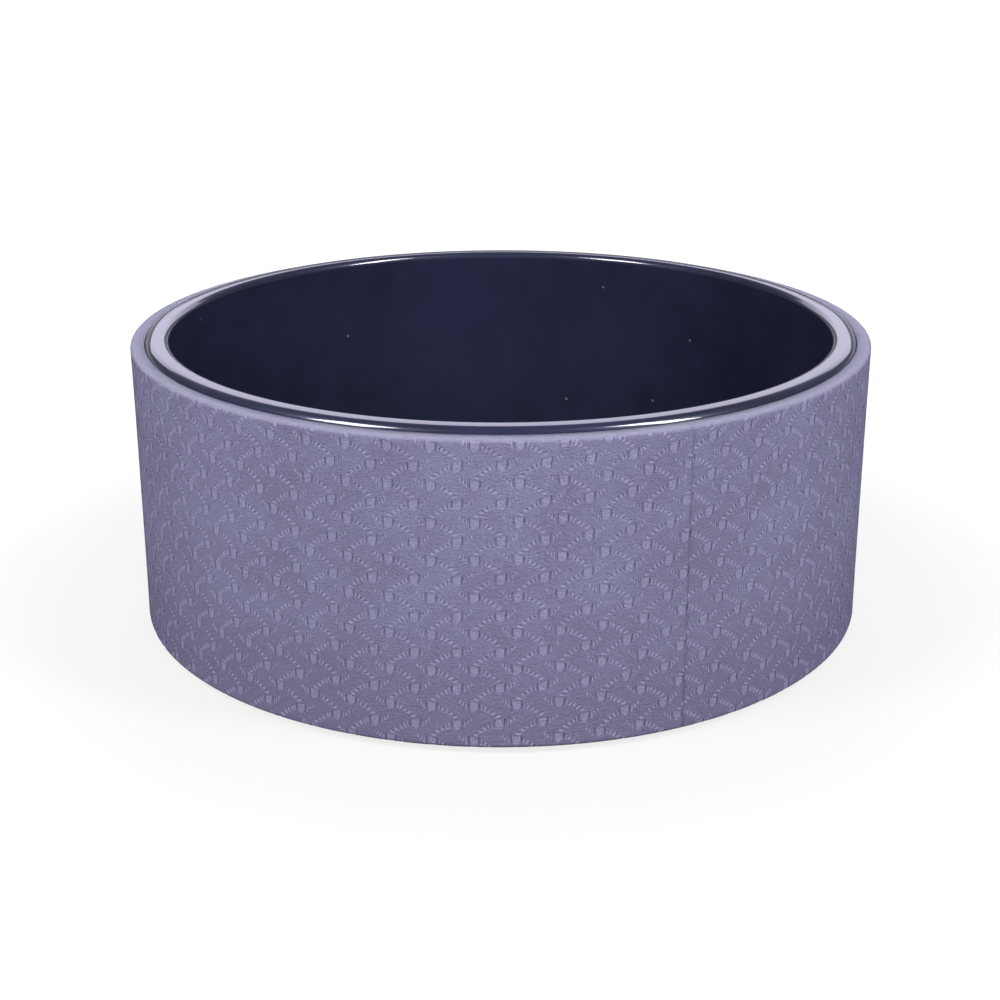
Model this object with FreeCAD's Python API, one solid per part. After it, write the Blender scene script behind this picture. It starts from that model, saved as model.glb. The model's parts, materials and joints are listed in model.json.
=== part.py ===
"""Yoga wheel: a rigid plastic hoop with a foam tread strip bonded round its outside.

Millimetres. The wheel lies on one rim, which is at z = 0, and +Z is its axis. The front is -Y,
with +X to the right of it.
"""
import FreeCAD
import Part

import math
import os

WHEEL_DIAMETER = 330.0  # over the foam tread
WHEEL_WIDTH = 130.0  # between the two rims

HOOP_WALL = 10.8
HOOP_BORE_ROUND = 3.0  # edge between a rim and the bore
HOOP_OUTER_ROUND = 4.0  # edge between a rim and the outer face

FILM_THICKNESS = 0.2  # adhesive between the hoop and the strip
FILM_MARGIN = 0.8  # bare part of the hoop's outer face beside the film

TREAD_THICKNESS = 6.0
TREAD_SETBACK = 2.1  # from the rim's plane to the strip's inner edge
TREAD_EDGE_FALL = 0.2  # how far an edge of the strip falls back towards its outer face
TREAD_EDGE_ROUND = 1.2  # outer edges of the strip

SEAM_GAP = 0.5  # between the strip's two ends
SEAM_RECESS = 1.5  # from the tread's outer face to the glue in the seam
SEAM_TURN_DEG = 25.8  # from the front of the wheel towards its right

CENTRE = FreeCAD.Vector(0, 0, 0)
AXIS = FreeCAD.Vector(0, 0, 1)
FRONT_DEG = -90.0  # from +X
FULL_TURN_DEG = 360.0

tread_radius = WHEEL_DIAMETER / 2
tread_bore_radius = tread_radius - TREAD_THICKNESS
hoop_radius = tread_bore_radius - FILM_THICKNESS
bore_radius = hoop_radius - HOOP_WALL
glue_radius = tread_radius - SEAM_RECESS

tread_bottom = TREAD_SETBACK
tread_top = WHEEL_WIDTH - TREAD_SETBACK
film_bottom = HOOP_OUTER_ROUND + FILM_MARGIN
film_top = WHEEL_WIDTH - film_bottom

seam_deg = FRONT_DEG + SEAM_TURN_DEG
gap_deg = math.degrees(SEAM_GAP / tread_radius)
strip_start_deg = seam_deg + gap_deg / 2
strip_sweep_deg = FULL_TURN_DEG - gap_deg


def corner_cut(before, corner, after, radius):
    """Start, middle and end of a corner's round: the corner itself, three times, if it is sharp."""
    if radius == 0:
        return corner, corner, corner
    back = (before - corner).normalize()
    ahead = (after - corner).normalize()
    half_angle = back.getAngle(ahead) / 2
    reach = radius / math.tan(half_angle)
    depth = radius / math.sin(half_angle) - radius
    inward = (back + ahead).normalize()
    return corner + back * reach, corner + inward * depth, corner + ahead * reach


def section(corners):
    """Section of a ring, from the (radius, height, round) of each corner in turn."""
    points = [FreeCAD.Vector(radius, 0, height) for radius, height, _ in corners]
    followers = points[1:] + points[:1]
    cuts = []
    for index, (_, _, corner_round) in enumerate(corners):
        cuts.append(corner_cut(points[index - 1], points[index], followers[index], corner_round))
    edges = []
    for index, (start, middle, end) in enumerate(cuts):
        edges.append(Part.makeLine(cuts[index - 1][-1], start))
        if start != end:
            edges.append(Part.Arc(start, middle, end).toShape())
    return Part.Face(Part.Wire(edges))


def plain_section(inner_radius, outer_radius, bottom, top):
    """Section of a ring with four sharp edges."""
    return section([
        (inner_radius, bottom, 0),
        (outer_radius, bottom, 0),
        (outer_radius, top, 0),
        (inner_radius, top, 0),
    ])


def swept(face, start_deg, sweep_deg):
    """Solid that a section sweeps round the wheel's axis."""
    solid = face.revolve(CENTRE, AXIS, sweep_deg)
    solid.rotate(CENTRE, AXIS, start_deg)
    return solid


def make_hoop():
    """Moulded ring with flat rims and rounded edges."""
    face = section([
        (bore_radius, 0, HOOP_BORE_ROUND),
        (hoop_radius, 0, HOOP_OUTER_ROUND),
        (hoop_radius, WHEEL_WIDTH, HOOP_OUTER_ROUND),
        (bore_radius, WHEEL_WIDTH, HOOP_BORE_ROUND),
    ])
    return swept(face, 0, FULL_TURN_DEG)


def make_adhesive_film():
    """Adhesive that covers the flat part of the hoop's outer face, open at the seam."""
    face = plain_section(hoop_radius, tread_bore_radius, film_bottom, film_top)
    return swept(face, strip_start_deg, strip_sweep_deg)


def make_foam_tread():
    """Foam strip wrapped once round the hoop, with its ends facing each other at the seam."""
    face = section([
        (tread_bore_radius, tread_bottom, 0),
        (tread_radius, tread_bottom + TREAD_EDGE_FALL, TREAD_EDGE_ROUND),
        (tread_radius, tread_top - TREAD_EDGE_FALL, TREAD_EDGE_ROUND),
        (tread_bore_radius, tread_top, 0),
    ])
    return swept(face, strip_start_deg, strip_sweep_deg)


def make_seam_glue():
    """Glue line between the strip's two ends, from the hoop to just below the tread's face."""
    face = plain_section(hoop_radius, glue_radius, film_bottom, film_top)
    return swept(face, seam_deg - gap_deg / 2, gap_deg)


NODES = {
    "hoop": make_hoop(),
    "adhesive_film": make_adhesive_film(),
    "foam_tread": make_foam_tread(),
    "seam_glue": make_seam_glue(),
}

os.makedirs("parts", exist_ok=True)
for name, shape in NODES.items():
    shape.exportStep(f"parts/{name}.step")
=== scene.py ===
"""Looks of a yoga wheel: a glossy navy hoop, an embossed foam tread and the adhesive that holds the tread.

Lengths are in metres. The wheel lies on one rim and its axis is +Z. The camera stands at its front, at -Y.
The tread is laid out flat first: x runs round the wheel from the front towards +X, and y up its width.
"""

import json
import logging
import math
from dataclasses import dataclass, field
from enum import Enum

import bmesh
import bpy
from mathutils import Matrix, Vector


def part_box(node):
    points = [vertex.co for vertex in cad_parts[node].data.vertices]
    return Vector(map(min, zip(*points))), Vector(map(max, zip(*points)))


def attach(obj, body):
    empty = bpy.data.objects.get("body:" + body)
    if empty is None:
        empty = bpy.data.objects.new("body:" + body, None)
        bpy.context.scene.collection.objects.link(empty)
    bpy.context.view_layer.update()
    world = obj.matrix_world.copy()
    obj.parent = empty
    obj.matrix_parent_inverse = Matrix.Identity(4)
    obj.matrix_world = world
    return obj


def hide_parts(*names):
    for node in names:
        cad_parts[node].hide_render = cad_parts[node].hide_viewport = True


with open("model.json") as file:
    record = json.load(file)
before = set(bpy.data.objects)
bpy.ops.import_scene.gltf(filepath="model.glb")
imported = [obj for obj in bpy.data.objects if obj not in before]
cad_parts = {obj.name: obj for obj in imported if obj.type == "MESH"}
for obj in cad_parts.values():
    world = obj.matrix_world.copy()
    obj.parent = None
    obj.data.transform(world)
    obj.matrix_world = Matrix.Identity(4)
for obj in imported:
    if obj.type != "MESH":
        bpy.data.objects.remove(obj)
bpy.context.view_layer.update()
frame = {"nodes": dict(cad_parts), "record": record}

LOG = logging.getLogger("yoga_wheel")
MM = 0.001
BODY = "root"
TONE = "tone"  # face-corner value of the tread, from -1 where shade is painted in a crease to 1 where light is painted palest on a ramp
WELD = 0.002 * MM  # corners closer than this are one
UP = Vector((0.0, 0.0, 1.0))

Colour = tuple[float, float, float, float]
SocketOrValue = bpy.types.NodeSocket | float | Colour | Vector
Inputs = dict[str | int, SocketOrValue]

WHITE: Colour = (1.0, 1.0, 1.0, 1.0)


class Hand(Enum):
    """Which way the long row of flutes of an embossed fan runs from its tab."""

    RIGHT = 1.0
    LEFT = -1.0


class Border(Enum):
    """A long border of the tread strip, by the way that it faces."""

    TOP = 1.0
    BOTTOM = -1.0


class NodeSheet:
    """Adds and joins the nodes of one material or shader group."""

    def __init__(self, tree: bpy.types.NodeTree) -> None:
        """Starts from an empty tree.

        Args:
            tree: The node tree to fill.
        """
        self.tree = tree
        tree.nodes.clear()

    def add(self, kind: str, inputs: Inputs | None = None, **settings: object) -> bpy.types.Node:
        """Adds a node, sets it and joins its inputs.

        Args:
            kind: The node's type, without its ShaderNode prefix or, for a group's own ends, in full.
            inputs: A value, or a socket to join, for each input by name or number.
            settings: The node's own properties.

        Returns:
            The new node.
        """
        node = self.tree.nodes.new(kind if kind.startswith("NodeGroup") else "ShaderNode" + kind)
        for name, value in settings.items():
            setattr(node, name, value)
        for name, value in (inputs or {}).items():
            if isinstance(value, bpy.types.NodeSocket):
                self.tree.links.new(value, node.inputs[name])
            else:
                node.inputs[name].default_value = value
        return node

    def math(self, operation: str, first: SocketOrValue, second: SocketOrValue) -> bpy.types.NodeSocket:
        """Works out one number from two.

        Args:
            operation: A Math node's operation.
            first: The first number.
            second: The second number.

        Returns:
            The result's socket.
        """
        return self.add("Math", {0: first, 1: second}, operation=operation).outputs[0]

    def span(self, value: SocketOrValue, low: float, high: float, to_low: SocketOrValue = 0.0,
             to_high: SocketOrValue = 1.0) -> bpy.types.NodeSocket:
        """Maps a stretch of values to another smoothly, and holds it at the ends.

        Args:
            value: The number to map.
            low: Where the stretch starts.
            high: Where the stretch ends.
            to_low: The result at and before the start.
            to_high: The result at and past the end.

        Returns:
            The result's socket.
        """
        inputs = {"Value": value, "From Min": low, "From Max": high, "To Min": to_low, "To Max": to_high}
        return self.add("MapRange", inputs, interpolation_type="SMOOTHSTEP").outputs["Result"]

    def blend(self, share: SocketOrValue, first: SocketOrValue,
              second: SocketOrValue) -> bpy.types.NodeSocket:
        """Mixes two colours.

        Args:
            share: How much of the second colour shows.
            first: The first colour.
            second: The second colour.

        Returns:
            The mixed colour's socket.
        """
        return self.add("Mix", {0: share, 6: first, 7: second}, data_type="RGBA").outputs[2]

    def noise(self, place: bpy.types.NodeSocket, size: float, detail: float,
              roughness: float = 0.55) -> bpy.types.NodeSocket:
        """Makes soft cloudy noise.

        Args:
            place: The coordinates that it lies on.
            size: About the size of its largest patches.
            detail: How many finer layers it has.
            roughness: How strong the finer layers are.

        Returns:
            The noise's socket, around a half.
        """
        inputs = {"Vector": place, "Scale": 1.0 / size, "Detail": detail, "Roughness": roughness}
        return self.add("TexNoise", inputs).outputs["Fac"]

    def group(self, tree: bpy.types.NodeTree, inputs: Inputs) -> bpy.types.Node:
        """Places a shader group.

        Args:
            tree: The group's tree.
            inputs: Its inputs by name.

        Returns:
            The group's node.
        """
        return self.add("Group", inputs, node_tree=tree)


class SurfaceGroups:
    """The shader groups that several finishes share."""

    fine_scale: float = 5.3  # how much smaller a cloud's small patches are than its wide ones
    wide_share: float = 0.65
    patch_low: float = 0.35
    patch_high: float = 0.65

    def __init__(self) -> None:
        """Builds each group once."""
        self.specks = self._specks()
        self.cloud = self._cloud()

    @staticmethod
    def _new(name: str, inputs: dict[str, str], outputs: dict[str, str]) -> bpy.types.NodeTree:
        """Makes an empty group.

        Args:
            name: The group's name.
            inputs: The type of each input socket, by its name.
            outputs: The type of each output socket, by its name.

        Returns:
            The group's tree.
        """
        tree = bpy.data.node_groups.new(name, "ShaderNodeTree")
        for label, kind in inputs.items():
            tree.interface.new_socket(name=label, in_out="INPUT", socket_type="NodeSocket" + kind)
        for label, kind in outputs.items():
            tree.interface.new_socket(name=label, in_out="OUTPUT", socket_type="NodeSocket" + kind)
        return tree

    def _specks(self) -> bpy.types.NodeTree:
        """Scattered small specks, such as dust on plastic or open cells in foam.

        Returns:
            A group that gives the specks' mask.
        """
        inputs = {"Place": "Vector", "Scale": "Float", "Radius": "Float", "Share": "Float"}
        tree = self._new("specks", inputs, {"Mask": "Float"})
        sheet = NodeSheet(tree)
        given = sheet.add("NodeGroupInput").outputs
        cells = sheet.add("TexVoronoi", {"Vector": given["Place"], "Scale": given["Scale"]})
        draw = sheet.add("SeparateColor", {"Color": cells.outputs["Color"]}).outputs[0]
        chosen = sheet.math("LESS_THAN", draw, given["Share"])
        inside = sheet.math("LESS_THAN", cells.outputs["Distance"], given["Radius"])
        sheet.add("NodeGroupOutput", {"Mask": sheet.math("MULTIPLY", chosen, inside)})
        return tree

    def _cloud(self) -> bpy.types.NodeTree:
        """Uneven tone: one colour drifts into another in soft patches of two sizes.

        Returns:
            A group that gives the colour and the patches' own value.
        """
        inputs = {"Place": "Vector", "Scale": "Float", "First": "Color", "Second": "Color"}
        tree = self._new("cloud", inputs, {"Color": "Color", "Value": "Float"})
        sheet = NodeSheet(tree)
        given = sheet.add("NodeGroupInput").outputs
        wide = sheet.add("TexNoise", {"Vector": given["Place"], "Scale": given["Scale"], "Detail": 2.0})
        fine_scale = sheet.math("MULTIPLY", given["Scale"], self.fine_scale)
        fine = sheet.add("TexNoise", {"Vector": given["Place"], "Scale": fine_scale, "Detail": 2.0})
        wide_part = sheet.math("MULTIPLY", wide.outputs["Fac"], self.wide_share)
        fine_part = sheet.math("MULTIPLY", fine.outputs["Fac"], 1.0 - self.wide_share)
        value = sheet.span(sheet.math("ADD", wide_part, fine_part), self.patch_low, self.patch_high)
        colour = sheet.blend(value, given["First"], given["Second"])
        sheet.add("NodeGroupOutput", {"Color": colour, "Value": value})
        return tree


@dataclass(frozen=True)
class HoopPlastic:
    """Glossy moulded plastic, dark navy, with faint waviness, smudges and a little dust."""

    colour: Colour = (0.0095, 0.0107, 0.0258, 1.0)
    colour_drift: Colour = (0.0138, 0.0151, 0.0382, 1.0)
    sheen: float = 0.25
    sheen_tint: Colour = (0.70, 0.74, 1.0, 1.0)
    body_roughness: float = 0.32
    gloss_roughness: float = 0.05
    smudge_roughness: float = 0.10
    smudge_size: float = 85.0 * MM
    smudge_low: float = 0.45
    smudge_high: float = 0.75
    wave_size: float = 9.0 * MM
    wave_height: float = 0.03 * MM
    wave_strength: float = 0.25
    dust_colour: Colour = (0.30, 0.30, 0.36, 1.0)
    dust_spacing: float = 9.0 * MM
    dust_radius: float = 0.08  # of the spacing
    dust_share: float = 0.12
    dust_cover: float = 0.3
    dust_roughness: float = 0.5

    def material(self, groups: SurfaceGroups) -> bpy.types.Material:
        """Builds the finish.

        Args:
            groups: The shared shader groups.

        Returns:
            The material.
        """
        made = bpy.data.materials.new("hoop_plastic")
        made.use_nodes = True
        sheet = NodeSheet(made.node_tree)
        place = sheet.add("TexCoord").outputs["Object"]
        tone = sheet.group(groups.cloud, {
            "Place": place,
            "Scale": 1.0 / self.smudge_size,
            "First": self.colour,
            "Second": self.colour_drift,
        })
        dust = sheet.group(groups.specks, {
            "Place": place,
            "Scale": 1.0 / self.dust_spacing,
            "Radius": self.dust_radius,
            "Share": self.dust_share,
        }).outputs["Mask"]
        dusted = sheet.math("MULTIPLY", dust, self.dust_cover)
        dulled = sheet.math("MULTIPLY", dust, self.dust_roughness)
        haze = sheet.noise(place, self.smudge_size, detail=5.0, roughness=0.62)
        smudge = sheet.span(haze, self.smudge_low, self.smudge_high)
        smooth = sheet.span(smudge, 0.0, 1.0, self.gloss_roughness, self.smudge_roughness)
        wave = sheet.noise(place, self.wave_size, detail=2.0)
        bump = sheet.add("Bump", {
            "Height": wave,
            "Strength": self.wave_strength,
            "Distance": self.wave_height,
        })
        shader = sheet.add("BsdfPrincipled", {
            "Base Color": sheet.blend(dusted, tone.outputs["Color"], self.dust_colour),
            "Roughness": sheet.math("ADD", self.body_roughness, dulled),
            "Normal": bump.outputs["Normal"],
            "Specular IOR Level": self.sheen,
            "Specular Tint": self.sheen_tint,
            "Coat Weight": 1.0,
            "Coat Roughness": smooth,
            "Coat Normal": bump.outputs["Normal"],
        })
        sheet.add("OutputMaterial", {"Surface": shader.outputs["BSDF"]})
        return made


@dataclass(frozen=True)
class TreadFoam:
    """Matt closed-cell elastomer foam, lavender grey, with a fine skin grain and greyer cut edges. Shade is
    painted into its creases, into the pits of its grain and towards its bottom, and light is painted onto the
    floors and ramps of its hollows.
    """

    colour: Colour = (0.231, 0.234, 0.371, 1.0)
    colour_drift: Colour = (0.214, 0.190, 0.315, 1.0)
    # painted shade towards the foam's bottom
    low_shade_colour: Colour = (0.190, 0.168, 0.282, 1.0)
    cut_colour: Colour = (0.209, 0.206, 0.290, 1.0)
    # painted light and painted shade, mixed into the foam's colour by the face-corner tone
    painted_light_colour: Colour = (0.385, 0.378, 0.580, 1.0)
    painted_shade_colour: Colour = (0.074, 0.071, 0.131, 1.0)
    sheen: float = 0.02
    skin_roughness: float = 0.7
    grain_roughness: float = 0.8
    rough_low: float = 0.3
    rough_high: float = 0.7
    drift_size: float = 22.0 * MM
    low_shade_share: float = 0.9
    cut_blur: float = 0.4 * MM
    grain_size: float = 0.95 * MM
    grain_flatness: float = 1.6
    grain_height: float = 0.75 * MM
    grain_low: float = 0.36
    grain_high: float = 0.64
    # how much shade is painted into the grain's pits
    pit_shade_cover: float = 0.34
    cell_size: float = 0.55 * MM
    cell_radius: float = 0.42  # of the cell's size
    cell_share: float = 0.5
    cell_depth: float = 0.5  # of the grain's height

    def material(self, groups: SurfaceGroups, cut_low: float, cut_high: float) -> bpy.types.Material:
        """Builds the finish.

        Args:
            groups: The shared shader groups.
            cut_low: Height under which the lower cut edge shows.
            cut_high: Height above which the upper cut edge shows.

        Returns:
            The material.
        """
        made = bpy.data.materials.new("tread_foam")
        made.use_nodes = True
        sheet = NodeSheet(made.node_tree)
        place = sheet.add("TexCoord").outputs["Object"]
        height = sheet.add("SeparateXYZ", {"Vector": place}).outputs["Z"]
        upper = sheet.span(height, cut_high - self.cut_blur, cut_high + self.cut_blur)
        lower = sheet.span(height, cut_low - self.cut_blur, cut_low + self.cut_blur, 1.0, 0.0)
        cut = sheet.math("MAXIMUM", upper, lower)
        tone = sheet.group(groups.cloud, {
            "Place": place,
            "Scale": 1.0 / self.drift_size,
            "First": self.colour,
            "Second": self.colour_drift,
        }).outputs["Color"]
        # painted shade: the foam darkens towards its bottom, where the floor shades it
        low = sheet.span(height, cut_low, (cut_low + cut_high) / 2, self.low_shade_share, 0.0)
        tone = sheet.blend(low, tone, self.low_shade_colour)
        cells = sheet.group(groups.specks, {
            "Place": place,
            "Scale": 1.0 / self.cell_size,
            "Radius": self.cell_radius,
            "Share": self.cell_share,
        }).outputs["Mask"]
        squash = Vector((1.0, 1.0, self.grain_flatness))
        flat = sheet.add("VectorMath", {0: place, 1: squash}, operation="MULTIPLY").outputs["Vector"]
        grain = sheet.noise(flat, self.grain_size, detail=4.0, roughness=0.7)
        open_cells = sheet.math("MULTIPLY", cells, cut)
        relief = sheet.math("SUBTRACT", grain, sheet.math("MULTIPLY", open_cells, self.cell_depth))
        bump = sheet.add("Bump", {"Height": relief, "Strength": 1.0, "Distance": self.grain_height})
        # painted light on the hollows' floors and ramps, painted shade in their creases
        light_and_shade = sheet.add("Attribute", attribute_name=TONE).outputs["Fac"]
        skin = sheet.blend(sheet.span(light_and_shade, 0.0, 1.0), tone, self.painted_light_colour)
        skin = sheet.blend(sheet.span(light_and_shade, -1.0, 0.0, 1.0, 0.0), skin, self.painted_shade_colour)
        # painted shade: darker where the grain's relief is low
        pit_shade = sheet.span(grain, self.grain_low, self.grain_high, self.pit_shade_cover, 0.0)
        skin = sheet.blend(pit_shade, skin, self.painted_shade_colour)
        rough = sheet.span(grain, self.rough_low, self.rough_high, self.skin_roughness,
                           self.grain_roughness)
        shader = sheet.add("BsdfPrincipled", {
            "Base Color": sheet.blend(cut, skin, self.cut_colour),
            "Roughness": rough,
            "Specular IOR Level": self.sheen,
            "Normal": bump.outputs["Normal"],
        })
        sheet.add("OutputMaterial", {"Surface": shader.outputs["BSDF"]})
        return made


@dataclass(frozen=True)
class Bond:
    """Dried adhesive: uneven in tone, a little shiny and rippled."""

    name: str
    colour: Colour
    colour_drift: Colour
    roughness: float = 0.42
    patch_roughness: float = 0.57
    patch_size: float = 6.0 * MM
    ripple_height: float = 0.05 * MM
    ripple_strength: float = 0.4

    def material(self, groups: SurfaceGroups) -> bpy.types.Material:
        """Builds the finish.

        Args:
            groups: The shared shader groups.

        Returns:
            The material.
        """
        made = bpy.data.materials.new(self.name)
        made.use_nodes = True
        sheet = NodeSheet(made.node_tree)
        place = sheet.add("TexCoord").outputs["Object"]
        tone = sheet.group(groups.cloud, {
            "Place": place,
            "Scale": 1.0 / self.patch_size,
            "First": self.colour,
            "Second": self.colour_drift,
        })
        bump = sheet.add("Bump", {
            "Height": tone.outputs["Value"],
            "Strength": self.ripple_strength,
            "Distance": self.ripple_height,
        })
        rough = sheet.span(tone.outputs["Value"], 0.0, 1.0, self.roughness, self.patch_roughness)
        shader = sheet.add("BsdfPrincipled", {
            "Base Color": tone.outputs["Color"],
            "Roughness": rough,
            "Normal": bump.outputs["Normal"],
        })
        sheet.add("OutputMaterial", {"Surface": shader.outputs["BSDF"]})
        return made


CLEAR_FILM = Bond("film", colour=(0.52, 0.47, 0.36, 1.0), colour_drift=(0.58, 0.54, 0.44, 1.0))
DARK_GLUE = Bond("glue", colour=(0.030, 0.027, 0.045, 1.0), colour_drift=(0.045, 0.041, 0.062, 1.0))


def finish_piece(name: str, bm: bmesh.types.BMesh, material: bpy.types.Material, node: str) -> bpy.types.Object:
    """Turns a modelled shape into a piece of the wheel that stands for a CAD node.

    Args:
        name: The piece's name.
        bm: Its shape, which is freed.
        material: Its finish.
        node: The CAD node that it stands for.

    Returns:
        The piece.
    """
    bmesh.ops.recalc_face_normals(bm, faces=bm.faces)
    for face in bm.faces:
        face.smooth = True
    mesh = bpy.data.meshes.new(name)
    bm.to_mesh(mesh)
    bm.free()
    mesh.materials.append(material)
    piece = bpy.data.objects.new(name, mesh)
    bpy.context.scene.collection.objects.link(piece)
    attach(piece, BODY)
    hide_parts(node)
    return piece


@dataclass
class Hoop:
    """The moulded hoop: a plain ring with flat rims and rounded edges."""

    bore_radius: float
    radius: float
    width: float
    bore_round: float = 3.0 * MM
    outer_round: float = 4.0 * MM
    steps: int = 192
    round_steps: int = 7

    def build(self, groups: SurfaceGroups) -> bpy.types.Object:
        """Models the hoop and dresses it.

        Args:
            groups: The shared shader groups.

        Returns:
            The hoop.
        """
        bm = bmesh.new()
        middle = (self.bore_radius + self.radius) / 2
        wall = self.radius - self.bore_radius
        place = Matrix.Translation((middle, 0.0, self.width / 2)) @ Matrix.Rotation(math.pi / 2, 4, "X")
        section = bmesh.ops.create_grid(bm, x_segments=1, y_segments=1, size=0.5,
                                        matrix=place @ Matrix.Diagonal((wall, self.width, 1.0, 1.0)))
        edges = list({edge for vert in section["verts"] for edge in vert.link_edges})
        bmesh.ops.delete(bm, geom=bm.faces[:], context="FACES_ONLY")
        bmesh.ops.spin(bm, geom=edges + section["verts"], cent=(0.0, 0.0, 0.0), axis=UP,
                       angle=2 * math.pi, steps=self.steps, use_merge=True)
        bmesh.ops.remove_doubles(bm, verts=bm.verts, dist=WELD)
        self._round(bm, middle)
        piece = finish_piece("hoop_ring", bm, HoopPlastic().material(groups), "hoop")
        flat = piece.modifiers.new("flat rims", "WEIGHTED_NORMAL")
        flat.weight = 100
        return piece

    def _round(self, bm: bmesh.types.BMesh, middle: float) -> None:
        """Rounds the hoop's four edges.

        Args:
            bm: The ring, with sharp edges.
            middle: The radius between its bore and its outer face.
        """
        rims = [edge for edge in bm.edges if edge.calc_face_angle(0.0) > math.pi / 4]
        inner = [edge for edge in rims if edge.verts[0].co.xy.length < middle]
        outer = [edge for edge in rims if edge.verts[0].co.xy.length > middle]
        for edges, size in ((inner, self.bore_round), (outer, self.outer_round)):
            bmesh.ops.bevel(bm, geom=edges, offset=size, affect="EDGES", segments=self.round_steps,
                            profile=0.5, material=-1)


@dataclass(frozen=True)
class Flute:
    """A narrow hollow of an embossed fan.

    Its place is measured from the middle of the top of the fan's tab, out along the long row and down.
    """

    out: float
    down: float
    lean_deg: float
    length: float
    breadth: float
    depth: float


@dataclass(frozen=True)
class Fan:
    """One motif of the tread's pattern: a tapered tab between a long and a short row of flutes.

    The tab's corners are in millimetres from the middle of its top, out along the long row and down. The
    two tones of a tab's wall are those of its outer and its inner border.
    """

    tab_mm: tuple[tuple[float, float], ...] = (
        (-2.30, -0.33), (2.22, 0.46), (1.98, 3.70), (0.30, 4.85), (-0.85, 4.85), (-1.80, 3.85),
    )
    tab_wall: float = 0.10 * MM
    tab_narrowing: float = 0.80
    # tones above zero paint light into the foam's colour, tones below zero paint shade
    tab_tone: float = 0.48
    side_steepness: float = 2.0  # of a wall that counts as a side, down for each step across
    side_tones: tuple[float, float] = (-1.0, 0.1)
    top_tones: tuple[float, float] = (-0.1, 0.2)
    foot_tones: tuple[float, float] = (-0.5, 0.4)
    tab_depth: float = 0.14 * MM
    foot_depth: float = 0.18 * MM
    foot_rise: float = 0.80 * MM
    foot_corners: int = 4
    flute_sides: int = 6
    deep_across: float = 0.5  # where a flute is deepest, of its half breadth
    deep_along: float = 0.5  # and of its half length
    # a flute's creased side gets painted shade, its ramp painted light
    crease_tone: float = -0.5
    crease_rim_tone: float = -1.3
    ramp_tone: float = 0.95
    ramp_rim_tone: float = 0.4
    flutes: tuple[Flute, ...] = (
        Flute(2.95 * MM, 2.26 * MM, 12.0, 2.8 * MM, 0.85 * MM, 0.24 * MM),
        Flute(4.16 * MM, 2.92 * MM, 21.0, 2.6 * MM, 1.50 * MM, 0.26 * MM),
        Flute(5.74 * MM, 3.91 * MM, 37.0, 2.4 * MM, 1.65 * MM, 0.22 * MM),
        Flute(7.40 * MM, 5.04 * MM, 58.0, 2.4 * MM, 1.65 * MM, 0.18 * MM),
        Flute(9.20 * MM, 6.43 * MM, 70.0, 2.5 * MM, 1.50 * MM, 0.16 * MM),
        Flute(-2.98 * MM, 1.72 * MM, -4.0, 3.2 * MM, 0.90 * MM, 0.26 * MM),
        Flute(-4.14 * MM, 0.82 * MM, 13.0, 2.0 * MM, 1.15 * MM, 0.22 * MM),
        Flute(-5.30 * MM, -0.15 * MM, 20.0, 1.9 * MM, 1.30 * MM, 0.22 * MM),
    )

    def outline(self, bm: bmesh.types.BMesh, top: Vector, hand: Hand) -> list[bmesh.types.BMFace]:
        """Draws the fan's hollows flat.

        Args:
            bm: The sheet to draw on.
            top: The middle of the top of the fan's tab.
            hand: The way that the long row of flutes runs.

        Returns:
            The hollows' faces, the tab's first.
        """
        verts = [bm.verts.new(top + Vector((hand.value * x, -y, 0.0)) * MM) for x, y in self.tab_mm]
        faces = [bm.faces.new(verts)]
        blunt = Matrix.Rotation(math.pi / self.flute_sides, 4, UP)
        for flute in self.flutes:
            place = Matrix.Translation(top + Vector((hand.value * flute.out, -flute.down, 0.0)))
            turn = Matrix.Rotation(-hand.value * math.radians(flute.lean_deg), 4, UP)
            size = Matrix.Diagonal((flute.breadth / 2, flute.length / 2, 1.0, 1.0))
            made = bmesh.ops.create_circle(bm, cap_ends=True, segments=self.flute_sides, radius=1.0,
                                           matrix=place @ turn @ size @ blunt)
            faces.append(made["verts"][0].link_faces[0])
        for face in faces:
            face.normal_update()
            if face.normal.z < 0.0:
                face.normal_flip()
        return faces

    def press(self, bm: bmesh.types.BMesh, hollows: list[bmesh.types.BMFace], hand: Hand) -> None:
        """Presses the fan's hollows in.

        Args:
            bm: The sheet.
            hollows: The fan's faces, the tab's first.
            hand: The way that the long row of flutes runs.
        """
        tab, *faces = hollows
        self._press_tab(bm, tab)
        for flute, face in zip(self.flutes, faces):
            self._press_flute(bm, face, flute, hand)

    def _press_tab(self, bm: bmesh.types.BMesh, tab: bmesh.types.BMFace) -> None:
        """Presses the tab in: creased sides with painted shade, a shallow floor and a ramp at its foot with
        painted light.

        Args:
            bm: The sheet.
            tab: The tab's face, which becomes its floor.
        """
        tone = bm.loops.layers.float[TONE]
        bmesh.ops.inset_individual(bm, faces=[tab], thickness=self.tab_wall, depth=-self.tab_depth,
                                   use_even_offset=True)
        middle = tab.calc_center_median()
        bmesh.ops.scale(bm, verts=tab.verts, vec=(self.tab_narrowing, 1.0, 1.0),
                        space=Matrix.Translation(-middle))
        foot = sorted(tab.verts, key=lambda vert: vert.co.y)[:self.foot_corners]
        bmesh.ops.translate(bm, verts=foot, vec=(0.0, self.foot_rise, self.tab_depth - self.foot_depth))
        for edge in tab.edges:
            edge.smooth = False
        for loop in tab.loops:
            loop[tone] = self.tab_tone
            wall = loop.link_loop_radial_next.face
            run = loop.link_loop_next.vert.co - loop.vert.co
            if abs(run.y) > self.side_steepness * abs(run.x):
                outer, inner = self.side_tones
            elif loop.vert.co.y > middle.y:
                outer, inner = self.top_tones
            else:
                outer, inner = self.foot_tones
            for corner in wall.loops:
                corner[tone] = inner if corner.vert in tab.verts else outer

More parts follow.
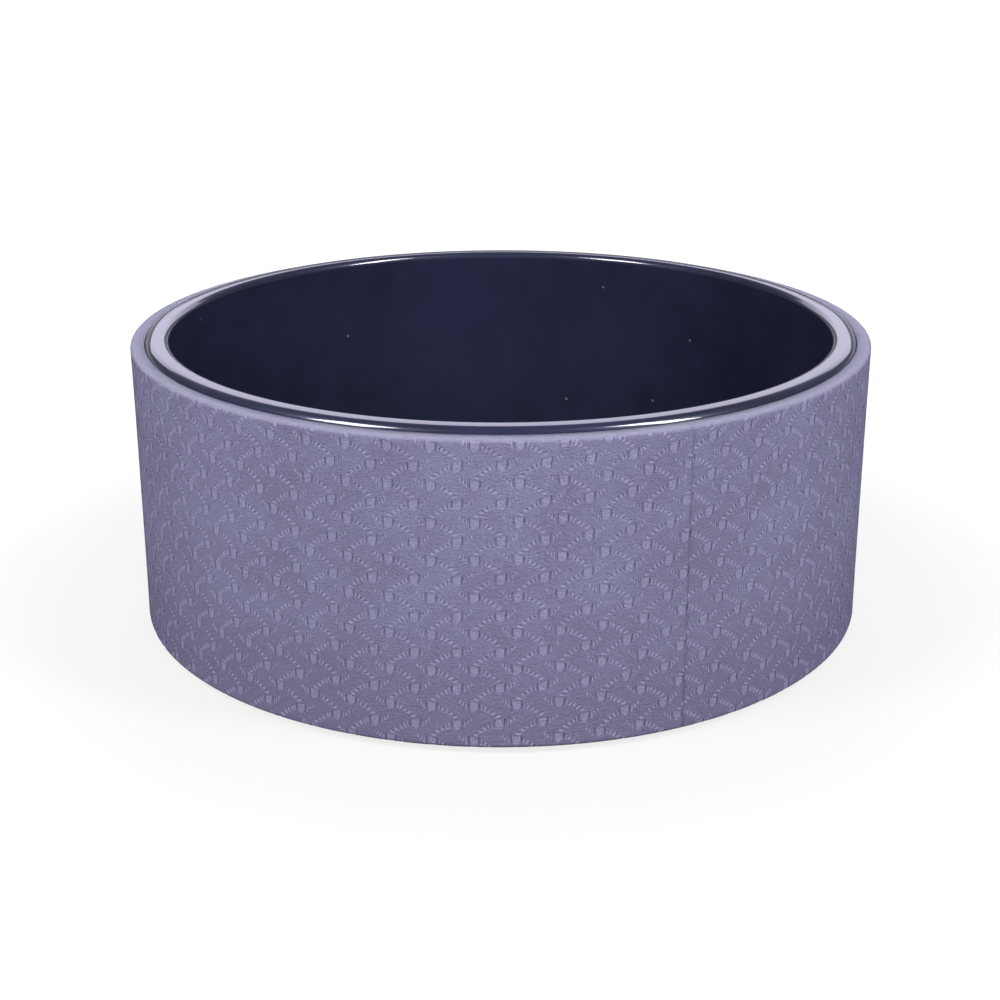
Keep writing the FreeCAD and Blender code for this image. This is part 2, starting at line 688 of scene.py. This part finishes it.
    def _press_flute(self, bm: bmesh.types.BMesh, face: bmesh.types.BMFace, flute: Flute,
                     hand: Hand) -> None:
        """Presses a flute in: a steep creased side towards the tab with painted shade, and a ramp away from it
        with painted light.

        Args:
            bm: The sheet.
            face: The flute's outline.
            flute: Its sizes.
            hand: The way that the long row of flutes runs.
        """
        tone = bm.loops.layers.float[TONE]
        lean = math.radians(flute.lean_deg)
        turn = Matrix.Diagonal((hand.value, 1.0, 1.0)) @ Matrix.Rotation(-lean, 3, UP)
        tabward = turn @ Vector((-math.copysign(1.0, flute.out), 0.0, 0.0))
        along = turn @ Vector((0.0, 1.0, 0.0))
        half = flute.breadth / 2
        middle = face.calc_center_median()
        made = bmesh.ops.poke(bm, faces=[face], offset=-flute.depth, center_mode="MEAN")
        across = tabward * self.deep_across * half
        lengthwise = along * self.deep_along * math.cos(lean) * flute.length / 2
        bmesh.ops.translate(bm, verts=made["verts"], vec=across + lengthwise)
        for facet in made["faces"]:
            rim = [loop for loop in facet.loops if loop.vert not in made["verts"]]
            sides = [(loop.vert.co - middle).dot(tabward) / half for loop in rim]
            creased = sum(sides) > 1.0
            for loop in facet.loops:
                loop[tone] = self.crease_tone if creased else self.ramp_tone
            for loop, side in zip(rim, sides):
                loop[tone] = self.crease_rim_tone * side if creased else self.ramp_rim_tone


@dataclass(frozen=True)
class EmbossedSheet:
    """Foam sheet with the anti-slip pattern: two mirrored fans to a tile, tiles in columns and rows.

    A tile's border winds between the hollows. Its points are in millimetres from the middle of the top of
    the first fan's tab, right and down. The border's side and top repeat on the far side and at the bottom.
    Columns rise a little from left to right, and rows drift a little sideways.
    """

    pitch: float = 16.453 * MM
    row: float = 15.049 * MM
    rise: float = 0.700 * MM
    drift: float = -0.137 * MM
    block: int = 8  # columns that are copied together
    first_top: Vector = field(default_factory=lambda: Vector((6.78, 113.08, 0.0)) * MM)  # of one tab
    mate: Vector = field(default_factory=lambda: Vector((9.92, -7.71, 0.0)) * MM)  # first fan to second
    side_mm: tuple[tuple[float, float], ...] = (
        (-4.4, -2.1), (-7.3, -2.2), (-7.6, -1.0), (-6.2, 1.4), (-4.6, 3.4), (-2.8, 4.8),
        (-0.6, 5.4), (0.6, 5.5), (1.0, 6.6), (0.6, 8.6), (-0.8, 10.2), (-2.2, 12.0),
    )
    top_mm: tuple[tuple[float, float], ...] = (
        (-1.7, -1.35), (-0.75, -0.52), (0.45, -0.08), (1.9, 0.02), (3.3, -0.9), (5.2, -2.0),
        (8.5, -2.35),
    )

    def tile(self) -> bmesh.types.BMesh:
        """Models one tile, flat, with its first fan at the origin.

        Returns:
            The tile, with each face corner's tone.
        """
        bm = bmesh.new()
        bm.loops.layers.float.new(TONE)
        fan = Fan()
        fans = [fan.outline(bm, top, hand) for top, hand in zip((Vector(), self.mate), Hand)]
        for edge in bm.edges:
            edge.smooth = False
        right = Vector((self.pitch, 0.0, 0.0))
        down = Vector((0.0, -self.row, 0.0))
        side = [Vector((x, -y, 0.0)) * MM for x, y in self.side_mm]
        top = [Vector((x, -y, 0.0)) * MM for x, y in self.top_mm]
        corner = side[0]
        loop = [
            corner, *top,
            corner + right, *[point + right for point in side[1:]],
            corner + right + down, *[point + down for point in reversed(top)],
            corner + down, *reversed(side[1:]),
        ]
        verts = [bm.verts.new(point) for point in loop]
        for first, second in zip(verts, verts[1:] + verts[:1]):
            bm.edges.new((first, second))
        bmesh.ops.triangle_fill(bm, use_beauty=True, use_dissolve=False, edges=bm.edges, normal=UP)
        for hollows, hand in zip(fans, Hand):
            fan.press(bm, hollows, hand)
        return bm

    @staticmethod
    def _repeat(bm: bmesh.types.BMesh, steps: list[Vector]) -> None:
        """Adds a copy of all that is there at each step.

        Args:
            bm: The sheet so far.
            steps: Where the copies go.
        """
        one = bm.verts[:] + bm.edges[:] + bm.faces[:]
        for step in steps:
            copy = bmesh.ops.duplicate(bm, geom=one)["geom"]
            verts = [item for item in copy if isinstance(item, bmesh.types.BMVert)]
            bmesh.ops.translate(bm, verts=verts, vec=step)

    def sheet(self, left: float, right: float, bottom: float, top: float) -> bmesh.types.BMesh:
        """Lays tiles over a rectangle and past it.

        Args:
            left: Where the rectangle starts.
            right: Where it ends.
            bottom: Its lower border.
            top: Its upper border.

        Returns:
            The sheet, with a ragged border that lies outside the rectangle.
        """
        bm = self.tile()
        rows = math.ceil((top - bottom) / self.row) + 2
        self._repeat(bm, [Vector((0.0, -self.row * index, 0.0)) for index in range(1, rows)])
        self._repeat(bm, [Vector((self.pitch * index, 0.0, 0.0)) for index in range(1, self.block)])
        breadth = self.pitch * self.block
        first = math.floor((left - self.first_top.x - self.pitch) / breadth)
        last = math.floor((right - self.first_top.x + self.pitch) / breadth)
        head = math.ceil((top - self.first_top.y) / self.row) + 1
        blocks = []
        for index in range(first, last + 1):
            climb = round(index * self.block * self.rise / self.row)
            blocks.append(Vector((breadth * index, self.row * (head - climb), 0.0)))
        one = bm.verts[:]
        self._repeat(bm, blocks)
        bmesh.ops.delete(bm, geom=one, context="VERTS")
        bmesh.ops.remove_doubles(bm, verts=bm.verts, dist=WELD)
        lean = Matrix.Identity(4)
        lean[1][0] = self.rise / self.pitch
        lean[0][1] = -self.drift / self.row
        bmesh.ops.transform(bm, matrix=Matrix.Translation(self.first_top) @ lean, verts=bm.verts)
        return bm


@dataclass
class FoamTread:
    """The foam strip: cut from an embossed sheet and wrapped once round the hoop, with its ends butted.

    Its soft ends press a little past the faces of the glue, so its gap is narrower than the glue line.
    """

    radius: float
    bore_radius: float
    bottom: float
    top: float
    seam_deg: float = 25.8
    seam_gap: float = 0.25 * MM
    edge_fall: float = 0.2 * MM
    edge_round: float = 1.2 * MM
    round_steps: int = 3
    end_nick: tuple[float, float] = (0.5 * MM, 0.9 * MM)  # in from an end, and from a long border
    waist: float = 0.2 * MM
    waist_power: int = 3

    def build(self, groups: SurfaceGroups) -> bpy.types.Object:
        """Models the strip and dresses it.

        Args:
            groups: The shared shader groups.

        Returns:
            The strip.
        """
        thickness = self.radius - self.bore_radius
        slope = math.atan2(self.edge_fall, thickness)
        corner = self.top - self.edge_fall
        reach = self.edge_round / math.tan((math.pi / 2 + slope) / 2)
        face_top = corner - reach
        face_bottom = self.bottom + self.top - face_top
        right = math.radians(self.seam_deg) * self.radius - self.seam_gap / 2
        left = right + self.seam_gap - 2 * math.pi * self.radius
        bm = EmbossedSheet().sheet(left, right, face_bottom, face_top)
        self._cut(bm, left, right, face_bottom, face_top)
        rows = [self._edge(bm, border, slope, thickness, left, right) for border in Border]
        bmesh.ops.bridge_loops(bm, edges=rows[0] + rows[1])
        ends = [edge for edge in bm.edges if edge.is_boundary]
        bmesh.ops.holes_fill(bm, edges=ends, sides=0)
        self._wrap(bm)
        past_face = self.edge_round / 2
        material = TreadFoam().material(groups, face_bottom - past_face, face_top + past_face)
        piece = finish_piece("foam_strip", bm, material, "foam_tread")
        return piece

    def _cut(self, bm: bmesh.types.BMesh, left: float, right: float, bottom: float, top: float) -> None:
        """Cuts the sheet to the strip's outline, with a nick at each corner.

        Args:
            bm: The sheet.
            left: Where the strip starts.
            right: Where it ends.
            bottom: The lower border of its face.
            top: The upper border of its face.
        """
        nick_in, nick_down = self.end_nick
        cuts = [
            ((left, 0.0, 0.0), (-1.0, 0.0, 0.0)),
            ((right, 0.0, 0.0), (1.0, 0.0, 0.0)),
            ((0.0, bottom, 0.0), (0.0, -1.0, 0.0)),
            ((0.0, top, 0.0), (0.0, 1.0, 0.0)),
        ]
        for end, outward in ((left, -1.0), (right, 1.0)):
            for border, way in ((bottom, -1.0), (top, 1.0)):
                start = (end - outward * nick_in, border, 0.0)
                cuts.append((start, (outward * nick_down, way * nick_in, 0.0)))
        for point, normal in cuts:
            bmesh.ops.bisect_plane(bm, geom=bm.verts[:] + bm.edges[:] + bm.faces[:], dist=WELD / 2,
                                   plane_co=point, plane_no=normal, clear_outer=True)

    def _edge(self, bm: bmesh.types.BMesh, border: Border, slope: float, thickness: float, left: float,
              right: float) -> list[bmesh.types.BMEdge]:
        """Turns one long border of the strip in: a round, then a sloped cut face to the strip's back.

        Args:
            bm: The cut sheet.
            border: The border to turn in.
            slope: How far the cut face leans, in radians.
            thickness: The strip's thickness.
            left: Where the strip starts.
            right: Where it ends.

        Returns:
            The edges along the strip's back.
        """
        middle = (self.bottom + self.top) / 2

        def along(edge: bmesh.types.BMEdge) -> bool:
            """Tells a long border's edges from those of the strip's ends."""
            first, second = (vert.co for vert in edge.verts)
            upright = abs(first.x - second.x) < WELD and min(first.x - left, right - first.x) < 2 * WELD
            return edge.is_boundary and not upright and (first.y - middle) * border.value > 0.0

        edges = [edge for edge in bm.edges if along(edge)]
        sweep = math.pi / 2 - slope
        angles = [sweep * step / self.round_steps for step in range(self.round_steps + 1)]
        depths = [self.edge_round * (1.0 - math.cos(angle)) for angle in angles] + [thickness]
        spreads = [self.edge_round * math.sin(angle) for angle in angles]
        spreads.append(spreads[-1] + (thickness - depths[-2]) * math.tan(slope))
        for step in range(1, len(depths)):
            made = bmesh.ops.extrude_edge_only(bm, edges=edges)["geom"]
            edges = [item for item in made if isinstance(item, bmesh.types.BMEdge)]
            verts = [item for item in made if isinstance(item, bmesh.types.BMVert)]
            spread = border.value * (spreads[step] - spreads[step - 1])
            bmesh.ops.translate(bm, verts=verts, vec=(0.0, spread, depths[step - 1] - depths[step]))
        for edge in edges:
            for vert in edge.verts:
                vert.co.z = -thickness
        return edges

    def _wrap(self, bm: bmesh.types.BMesh) -> None:
        """Bends the flat strip round the wheel, drawn in a little at mid-width.

        Args:
            bm: The flat strip, its face at zero height.
        """
        middle = (self.bottom + self.top) / 2
        half = (self.top - self.bottom) / 2
        for vert in bm.verts:
            angle = vert.co.x / self.radius
            offset = min(1.0, abs(vert.co.y - middle) / half)
            depth = -vert.co.z
            share = 1.0 - depth / (self.radius - self.bore_radius)
            radius = self.radius - depth - self.waist * share * (1.0 - offset ** self.waist_power)
            vert.co = Vector((radius * math.sin(angle), -radius * math.cos(angle), vert.co.y))


@dataclass
class BondedNode:
    """An adhesive piece whose CAD shape is right, which only needs its finish."""

    node: str
    finish: Bond

    def dress(self, groups: SurfaceGroups) -> bpy.types.Object:
        """Gives the CAD node its finish.

        Args:
            groups: The shared shader groups.

        Returns:
            The CAD node's object.
        """
        piece = frame["nodes"][self.node]
        piece.data.materials.clear()
        piece.data.materials.append(self.finish.material(groups))
        return piece


@dataclass(frozen=True)
class Lamp:
    """A soft lamp that the camera doesn't see.

    Its turn goes from the wheel's front towards +X, and its climb from level. Its sides are the level
    ones, then the others. Its power is in watts.
    """

    name: str
    turn_deg: float
    climb_deg: float
    distance: float
    sides: tuple[float, float]
    power: float
    colour: tuple[float, float, float] = (1.0, 1.0, 1.0)
    mirrored: bool = True

    def hang(self, target: Vector) -> None:
        """Hangs the lamp round a point.

        Args:
            target: The point, which it faces.
        """
        climb = Matrix.Rotation(-math.radians(self.climb_deg), 3, "X")
        turn = Matrix.Rotation(math.radians(self.turn_deg), 3, "Z")
        place = target + turn @ climb @ Vector((0.0, -self.distance, 0.0))
        lamp = bpy.data.lights.new(self.name, "AREA")
        lamp.shape = "RECTANGLE"
        lamp.size, lamp.size_y = self.sides
        lamp.energy = self.power
        lamp.color = self.colour
        holder = bpy.data.objects.new(self.name, lamp)
        holder.location = place
        holder.rotation_euler = (target - place).to_track_quat("-Z", "Y").to_euler()
        holder.visible_camera = False
        holder.visible_glossy = self.mirrored
        bpy.context.scene.collection.objects.link(holder)


@dataclass
class Studio:
    """White floor and surround, soft lamps round the wheel, and the camera.

    The floor is darker in the wheel's bore, where a shadow is painted on it, and glossy faces mirror the floor
    and the walls dimmed.
    """

    camera_place: Vector = field(default_factory=lambda: Vector((-0.0004, -0.75074, 0.32176)))
    camera_down_deg: float = 18.985
    camera_roll_deg: float = -0.072
    camera_shift: float = -0.04
    lens_mm: float = 61.245
    sensor_mm: float = 36.0
    floor_size: float = 12.0
    floor_tone: float = 0.09
    floor_glow: float = 0.79
    glow_stretch: tuple[float, float] = (0.17, 0.40)
    # painted shadow on the floor inside the wheel's bore
    bore_shade_tone: float = 0.02
    bore_shade_glow: float = 0.70
    bore_edge: tuple[float, float] = (0.150, 0.160)
    mirror_share: float = 0.45
    wall_glow: float = 1.0
    wall_top: float = 0.06
    wall_fade: float = 0.04
    ceiling_glow: float = 0.12
    lamp_target: Vector = field(default_factory=lambda: Vector((0.0, 0.0, 0.08)))
    lamps: tuple[Lamp, ...] = (
        Lamp("left lamp", -57.0, 49.0, 1.5, (0.44, 0.50), 20.8),
        Lamp("right lamp", 61.0, 49.0, 1.5, (0.30, 0.72), 21.5),
        Lamp("back lamp", 180.0, 22.211, 2.5924, (3.4, 0.74), 14.4, (0.82, 0.78, 1.0)),
        Lamp("front lamp", 2.386, 25.0, 2.6504, (1.6, 1.2), 49.0, mirrored=False),
        Lamp("rear lamp", 180.0, 25.017, 2.6485, (1.6, 1.2), 48.0, mirrored=False),
    )

    def build(self) -> None:
        """Sets the stage, the lamps, the world and the camera."""
        self._floor()
        self._world()
        for lamp in self.lamps:
            lamp.hang(self.lamp_target)
        self._camera()
        bpy.context.scene.view_settings.view_transform = "Standard"

    def _floor(self) -> None:
        """Lays the pale floor, which shows white to the camera and keeps the wheel's shadow, with a painted
        shadow in the wheel's bore.
        """
        bm = bmesh.new()
        bmesh.ops.create_grid(bm, x_segments=1, y_segments=1, size=self.floor_size / 2)
        mesh = bpy.data.meshes.new("floor")
        bm.to_mesh(mesh)
        bm.free()
        floor = bpy.data.objects.new("floor", mesh)
        bpy.context.scene.collection.objects.link(floor)
        material = bpy.data.materials.new("floor")
        material.use_nodes = True
        sheet = NodeSheet(material.node_tree)
        place = sheet.add("TexCoord").outputs["Object"]
        away = sheet.add("VectorMath", {0: place}, operation="LENGTH").outputs["Value"]
        white = sheet.span(away, *self.glow_stretch, self.floor_glow, 1.0)
        # painted shadow in the bore: a dimmer glow to the camera and none in reflections
        glow_with_bore_shade = sheet.span(away, *self.bore_edge, self.bore_shade_glow, 1.0)
        mirror_glow_with_bore_shade = sheet.span(away, *self.bore_edge, 0.0, self.mirror_share)
        path = sheet.add("LightPath").outputs
        mirrored = sheet.math("MAXIMUM", path["Is Glossy Ray"], path["Is Transmission Ray"])
        shown = sheet.math("MULTIPLY", path["Is Camera Ray"], glow_with_bore_shade)
        dimmed = sheet.math("MULTIPLY", mirrored, mirror_glow_with_bore_shade)
        seen = sheet.math("MAXIMUM", shown, dimmed)
        # painted shadow in the bore: a darker floor there
        tone = sheet.span(away, *self.bore_edge, self.bore_shade_tone, self.floor_tone)
        matt = sheet.add("BsdfDiffuse", {"Color": tone})
        glow = sheet.add("Emission", {"Color": WHITE, "Strength": sheet.math("MULTIPLY", seen, white)})
        both = sheet.add("AddShader", {0: matt.outputs[0], 1: glow.outputs[0]})
        sheet.add("OutputMaterial", {"Surface": both.outputs[0]})
        mesh.materials.append(material)

    def _world(self) -> None:
        """Surrounds the wheel with white walls under a dim ceiling."""
        world = bpy.data.worlds.new("studio")
        world.use_nodes = True
        bpy.context.scene.world = world
        sheet = NodeSheet(world.node_tree)
        way = sheet.add("TexCoord").outputs["Generated"]
        climb = sheet.add("SeparateXYZ", {"Vector": way}).outputs["Z"]
        camera_ray = sheet.add("LightPath").outputs["Is Camera Ray"]
        wall = sheet.span(camera_ray, 0.0, 1.0, self.wall_glow * self.mirror_share, self.wall_glow)
        fade_end = self.wall_top + self.wall_fade
        strength = sheet.span(climb, self.wall_top, fade_end, wall, self.ceiling_glow)
        back = sheet.add("Background", {"Color": WHITE, "Strength": strength})
        sheet.add("OutputWorld", {"Surface": back.outputs[0]})

    def _camera(self) -> None:
        """Places the camera at the front, a little above the wheel."""
        camera = bpy.data.cameras.new("camera")
        camera.lens = self.lens_mm
        camera.sensor_width = self.sensor_mm
        camera.shift_y = self.camera_shift
        holder = bpy.data.objects.new("camera", camera)
        holder.location = self.camera_place
        aim = Matrix.Rotation(math.radians(90.0 - self.camera_down_deg), 3, "X")
        roll = Matrix.Rotation(math.radians(self.camera_roll_deg), 3, "Z")
        holder.rotation_euler = (aim @ roll).to_euler()
        bpy.context.scene.collection.objects.link(holder)
        bpy.context.scene.camera = holder


def ring_radius(node: str) -> float:
    """Gives the outer radius of a ring about the wheel's axis.

    Args:
        node: The ring's CAD node.

    Returns:
        Half its width.
    """
    low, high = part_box(node)
    return (high.x - low.x) / 2


def main() -> None:
    """Builds the wheel's pieces in order, logs each one's face count and sets the studio."""
    logging.basicConfig(level=logging.INFO, format="%(message)s")
    bore = next(mount for mount in frame["record"]["mounts"] if mount["name"] == "bore")
    hoop_low, hoop_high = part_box("hoop")
    tread_low, tread_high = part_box("foam_tread")
    groups = SurfaceGroups()
    hoop = Hoop(bore["dims"]["r_mm"] * MM, ring_radius("hoop"), hoop_high.z - hoop_low.z)
    tread = FoamTread(ring_radius("foam_tread"), ring_radius("adhesive_film"), tread_low.z, tread_high.z)
    film = BondedNode("adhesive_film", CLEAR_FILM)
    glue = BondedNode("seam_glue", DARK_GLUE)
    for piece in (hoop.build(groups), tread.build(groups), film.dress(groups), glue.dress(groups)):
        LOG.info("%s: %d faces", piece.name, len(piece.data.polygons))
    Studio().build()


if __name__ == "__main__":
    main()
